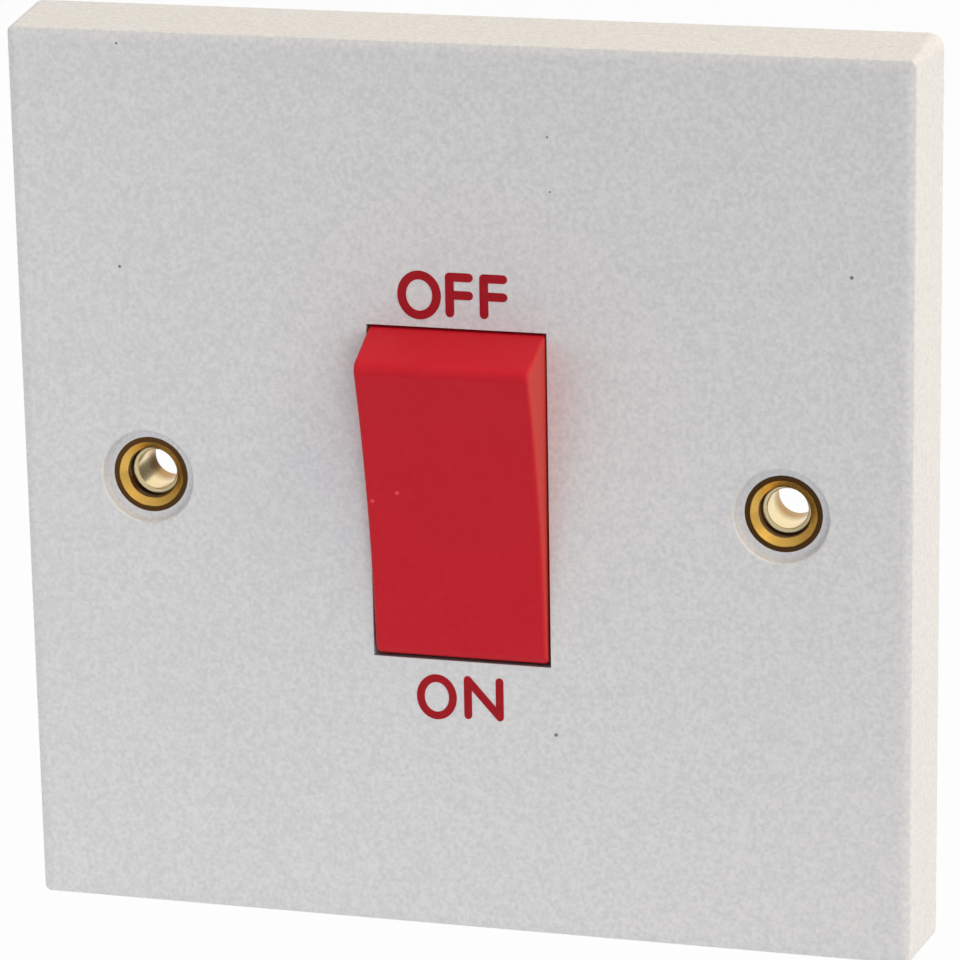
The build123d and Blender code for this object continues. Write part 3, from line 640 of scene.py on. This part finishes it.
# Contact tips
# Silver rivets with domed heads, headed over behind the copper. Silver goes grey in patches and
# is pitted dark where the arc has struck.
SILVER, SILVER_GREY, PIT = "#D2D0CB", "#A29E97", "#4A4642"
GREY_MM, PIT_MM = 1.2, 0.25
silver, tree, shader, place = start_material("riveted_silver")
grey = add_node(
    tree, "ShaderNodeTexNoise", {"Vector": place}, {"Scale": 1 / (GREY_MM * MM), "Detail": 3.0}
)
colour = add_node(
    tree,
    "ShaderNodeMix",
    {"Factor": grey.outputs["Fac"]},
    {"A": linear(SILVER), "B": linear(SILVER_GREY)},
    data_type="RGBA",
)
pits = add_node(
    tree, "ShaderNodeTexNoise", {"Vector": place}, {"Scale": 1 / (PIT_MM * MM), "Detail": 1.0}
)
pitted = add_node(
    tree,
    "ShaderNodeMapRange",
    {"Value": pits.outputs["Fac"]},
    {"From Min": 0.62, "From Max": 0.7, "To Min": 0.0, "To Max": 0.8},
)
colour = add_node(
    tree,
    "ShaderNodeMix",
    {"Factor": pitted.outputs["Result"], "A": colour.outputs["Result"]},
    {"B": linear(PIT)},
    data_type="RGBA",
)
gloss = add_node(
    tree, "ShaderNodeMapRange", {"Value": grey.outputs["Fac"]}, {"To Min": 0.22, "To Max": 0.42}
)
bump = add_node(
    tree, "ShaderNodeBump", {"Height": pitted.outputs["Result"]}, {"Strength": 0.3, "Distance": -0.03 * MM}
)
set_surface(tree, shader, colour, gloss, bump)
shader.inputs["Metallic"].default_value = 1.0
finish_nodes(silver, "neutral_moving_tip", "line_moving_tip", "neutral_fixed_tip", "line_fixed_tip")

# Terminals
# Tunnel blocks sawn from drawn brass bar, bored for the wire and tapped for the screws. Drawing
# lines run along them, drawn wide enough to show, and the yellow is uneven with handling.
BAR_YELLOW, BAR_BROWN = "#C29A4C", "#97723A"
DRAWN_MM = (0.3, 0.3, 6.0)
HANDLED_MM = 3.5
bar, tree, shader, place = start_material("drawn_brass_bar")
along = add_node(
    tree,
    "ShaderNodeMapping",
    {"Vector": place},
    {"Scale": [1 / (size * MM) for size in DRAWN_MM]},
)
drawn = add_node(
    tree, "ShaderNodeTexNoise", {"Vector": along.outputs[0]}, {"Scale": 1.0, "Detail": 2.0}
)
handled = add_node(
    tree, "ShaderNodeTexNoise", {"Vector": place}, {"Scale": 1 / (HANDLED_MM * MM), "Detail": 4.0}
)
colour = add_node(
    tree,
    "ShaderNodeMix",
    {"Factor": handled.outputs["Fac"]},
    {"A": linear(BAR_YELLOW), "B": linear(BAR_BROWN)},
    data_type="RGBA",
)
gloss = add_node(
    tree, "ShaderNodeMapRange", {"Value": handled.outputs["Fac"]}, {"To Min": 0.2, "To Max": 0.4}
)
bump = add_node(
    tree, "ShaderNodeBump", {"Height": drawn.outputs["Fac"]}, {"Strength": 0.2, "Distance": 0.015 * MM}
)
set_surface(tree, shader, colour, gloss, bump)
shader.inputs["Metallic"].default_value = 1.0
finish_nodes(bar, "neutral_load_terminal", "line_load_terminal", "earth_terminal")
finish_nodes(bar, "neutral_supply_terminal", "line_supply_terminal")

# Switch base
# One dark brown phenolic moulding, filled with wood flour, that carries all the live metal. It is
# satin where it met the tool, and the flour shows as lighter flecks, a few times their real size.
PHENOLIC, PHENOLIC_FLOW, FLOUR = "#2B211C", "#352822", "#5E4838"
FLOW_MM, FLOUR_MM = 7.0, 0.35
phenolic, tree, shader, place = start_material("moulded_phenolic")
flow = add_node(
    tree,
    "ShaderNodeTexNoise",
    {"Vector": place},
    {"Scale": 1 / (FLOW_MM * MM), "Detail": 3.0, "Distortion": 1.5},
)
colour = add_node(
    tree,
    "ShaderNodeMix",
    {"Factor": flow.outputs["Fac"]},
    {"A": linear(PHENOLIC), "B": linear(PHENOLIC_FLOW)},
    data_type="RGBA",
)
flour = add_node(
    tree, "ShaderNodeTexNoise", {"Vector": place}, {"Scale": 1 / (FLOUR_MM * MM), "Detail": 2.0}
)
flecks = add_node(
    tree,
    "ShaderNodeMapRange",
    {"Value": flour.outputs["Fac"]},
    {"From Min": 0.6, "From Max": 0.72, "To Min": 0.0, "To Max": 0.7},
)
colour = add_node(
    tree,
    "ShaderNodeMix",
    {"Factor": flecks.outputs["Result"], "A": colour.outputs["Result"]},
    {"B": linear(FLOUR)},
    data_type="RGBA",
)
satin = add_node(
    tree, "ShaderNodeMapRange", {"Value": flow.outputs["Fac"]}, {"To Min": 0.3, "To Max": 0.5}
)
bump = add_node(
    tree, "ShaderNodeBump", {"Height": flour.outputs["Fac"]}, {"Strength": 0.12, "Distance": 0.03 * MM}
)
set_surface(tree, shader, colour, satin, bump)
shader.inputs["IOR"].default_value = 1.6
finish_nodes(phenolic, "switch_base")

# Screws
# Slotted brass screws clamp the wires, and zinc-plated steel ones hold the base to the plate. All
# are turned, with rings round their heads, drawn wide apart to show. The zinc has a grey bloom.
SCREW_YELLOW, SCREW_BROWN = "#C8A254", "#9C7A42"
ZINC, ZINC_BLOOM = "#B4B8BC", "#8C9196"
HEAD_MM, BLOOM_MM = 0.22, 1.4
screw_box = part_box("terminal_screws")
earth_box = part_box("earth_screw")
base_screw_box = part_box("base_screws")
HEAD_R = (earth_box[1].x - earth_box[0].x) / 2
BASE_HEAD_R = 2.7 * MM
SCREW_PITCH = 6.4 * MM
pair_axis = (screw_box[1].x - HEAD_R, screw_box[1].z - HEAD_R - SCREW_PITCH / 2)
terminal_axes = [pair_axis, (0.0, SCREW_PITCH / 2)]
earth_axes = [(abs(earth_box[0].x + earth_box[1].x) / 2, 0.0)]
base_axes = [(base_screw_box[1].x - BASE_HEAD_R, base_screw_box[1].z - BASE_HEAD_R)]
for name, axes, bright, bloomed, node in (
    ("turned_brass_screw", terminal_axes, SCREW_YELLOW, SCREW_BROWN, "terminal_screws"),
    ("turned_brass_earth_screw", earth_axes, SCREW_YELLOW, SCREW_BROWN, "earth_screw"),
    ("zinc_plated_steel", base_axes, ZINC, ZINC_BLOOM, "base_screws"),
):
    metal, tree, shader, place = start_material(name)
    bloom = add_node(
        tree, "ShaderNodeTexNoise", {"Vector": place}, {"Scale": 1 / (BLOOM_MM * MM), "Detail": 3.0}
    )
    colour = add_node(
        tree,
        "ShaderNodeMix",
        {"Factor": bloom.outputs["Fac"]},
        {"A": linear(bright), "B": linear(bloomed)},
        data_type="RGBA",
    )
    rings = tool_rings(tree, place, turned_radius(tree, place, *axes), HEAD_MM * MM)
    gloss = add_node(tree, "ShaderNodeMapRange", {"Value": rings}, {"To Min": 0.2, "To Max": 0.4})
    bump = add_node(tree, "ShaderNodeBump", {"Height": rings}, {"Strength": 0.25, "Distance": 0.02 * MM})
    set_surface(tree, shader, colour, gloss, bump)
    shader.inputs["Metallic"].default_value = 1.0
    finish_nodes(metal, node)

# Floor and backdrop
# A plain pale sheet that lies under the switch and sweeps up behind it. It ends a short way in
# front, so that its light falls on the foot of the face more than on its top. The camera and the
# metal see it as white, and it keeps a little of the soft shadow.
SHEET_WHITE = "#E4EAF2"
SEEN_WHITE = 0.93
paper, tree, shader, place = start_material("pale_paper")
shader.inputs["Base Color"].default_value = linear(SHEET_WHITE)
shader.inputs["Roughness"].default_value = 0.9
path = add_node(tree, "ShaderNodeLightPath")
seen = add_node(
    tree,
    "ShaderNodeMath",
    {0: path.outputs["Is Camera Ray"], 1: path.outputs["Is Glossy Ray"]},
    operation="MAXIMUM",
)
seen = add_node(
    tree,
    "ShaderNodeMath",
    {0: seen.outputs[0], 1: path.outputs["Is Transmission Ray"]},
    operation="MAXIMUM",
)
share = add_node(tree, "ShaderNodeMath", {0: seen.outputs[0]}, {1: SEEN_WHITE}, operation="MULTIPLY")
glow = add_node(tree, "ShaderNodeEmission", None, {"Color": (1, 1, 1, 1), "Strength": 1.0})
both = add_node(
    tree, "ShaderNodeMixShader", {0: share.outputs[0], 1: shader.outputs[0], 2: glow.outputs[0]}
)
tree.links.new(both.outputs[0], tree.nodes["Material Output"].inputs["Surface"])
FLOOR_Z, FLOOR_FRONT, SHEET_HALF, WALL_FAR, SWEEP_R, SHEET_TOP = -0.09, -0.15, 1.6, 0.9, 0.3, 1.8
SWEEP_STEPS = 16
profile = [(FLOOR_FRONT, 0.0), (WALL_FAR - SWEEP_R, 0.0)]
for i in range(1, SWEEP_STEPS + 1):
    angle = math.pi / 2 * i / SWEEP_STEPS
    profile.append((WALL_FAR - SWEEP_R + SWEEP_R * math.sin(angle), SWEEP_R - SWEEP_R * math.cos(angle)))
profile.append((WALL_FAR, SHEET_TOP))
sheet = bmesh.new()
rows = [[sheet.verts.new((x, y, FLOOR_Z + z)) for y, z in profile] for x in (-SHEET_HALF, SHEET_HALF)]
for i in range(len(profile) - 1):
    sheet.faces.new((rows[0][i], rows[1][i], rows[1][i + 1], rows[0][i + 1]))
data = bpy.data.meshes.new("backdrop")
sheet.to_mesh(data)
sheet.free()
backdrop = bpy.data.objects.new("backdrop", data)
scene.collection.objects.link(backdrop)
data.materials.append(paper)

# Light
# A pale dome that is brightest above, behind and to the right and falls off towards the camera's
# side, with a warm soft box at the upper right and a cool one in front on the right, which leaves a
# faint shadow to the left of the rocker. A small weak one close by makes the left of the face paler.
DOME_DIM, DOME_BRIGHT = "#787E88", "#FFF8EC"
DOME_TOWARDS = Vector((0.52, 0.35, 0.78)).normalized()
world = bpy.data.worlds.new("studio")
scene.world = world
world.use_nodes = True
tree = world.node_tree
around = add_node(tree, "ShaderNodeTexCoord").outputs["Generated"]
height = add_node(
    tree, "ShaderNodeVectorMath", {0: around}, {1: DOME_TOWARDS}, operation="DOT_PRODUCT"
)
rise = add_node(
    tree, "ShaderNodeMapRange", {"Value": height.outputs["Value"]}, {"From Min": -0.8, "From Max": 0.8}
)
dome = add_node(
    tree,
    "ShaderNodeMix",
    {"Factor": rise.outputs["Result"]},
    {"A": linear(DOME_DIM), "B": linear(DOME_BRIGHT)},
    data_type="RGBA",
)
tree.links.new(dome.outputs["Result"], tree.nodes["Background"].inputs["Color"])


def soft_box(name, at, size, watts, colour):
    """A square area lamp aimed at the switch."""
    lamp = bpy.data.lights.new(name, "AREA")
    lamp.shape = "SQUARE"
    lamp.size = size
    lamp.energy = watts
    lamp.color = colour
    made = bpy.data.objects.new(name, lamp)
    made.location = at
    made.rotation_euler = (-Vector(at)).to_track_quat("-Z", "Y").to_euler()
    scene.collection.objects.link(made)


soft_box("key", at=(0.74, -0.085, 0.83), size=0.6, watts=6.25, colour=(1.0, 0.85, 0.59))
soft_box("front", at=(0.45, -0.9, -0.1), size=0.5, watts=1.72, colour=(0.92, 0.95, 1.0))
soft_box("near", at=(-0.15, -0.16, 0.01), size=0.12, watts=0.061, colour=(0.95, 0.97, 1.0))

# View
# The switch is seen from the right and a little above, through a long lens, so that its front
# and its top and right-hand sides show.
view = bpy.data.cameras.new("view")
view.sensor_width = 36.0
view.lens = 186.83
view.shift_x = -0.0105
view.shift_y = 0.0163
camera = bpy.data.objects.new("view", view)
scene.collection.objects.link(camera)
VIEW_AZIMUTH, VIEW_ELEVATION, VIEW_ROLL = 15.762, 16.564, -0.992
VIEW_MM = (121.5, -428.58, 130.09)
camera.rotation_euler = (
    Matrix.Rotation(math.radians(VIEW_AZIMUTH), 3, "Z")
    @ Matrix.Rotation(math.radians(90 - VIEW_ELEVATION), 3, "X")
    @ Matrix.Rotation(math.radians(VIEW_ROLL), 3, "Z")
).to_euler()
camera.location = Vector(VIEW_MM) * MM
scene.camera = camera
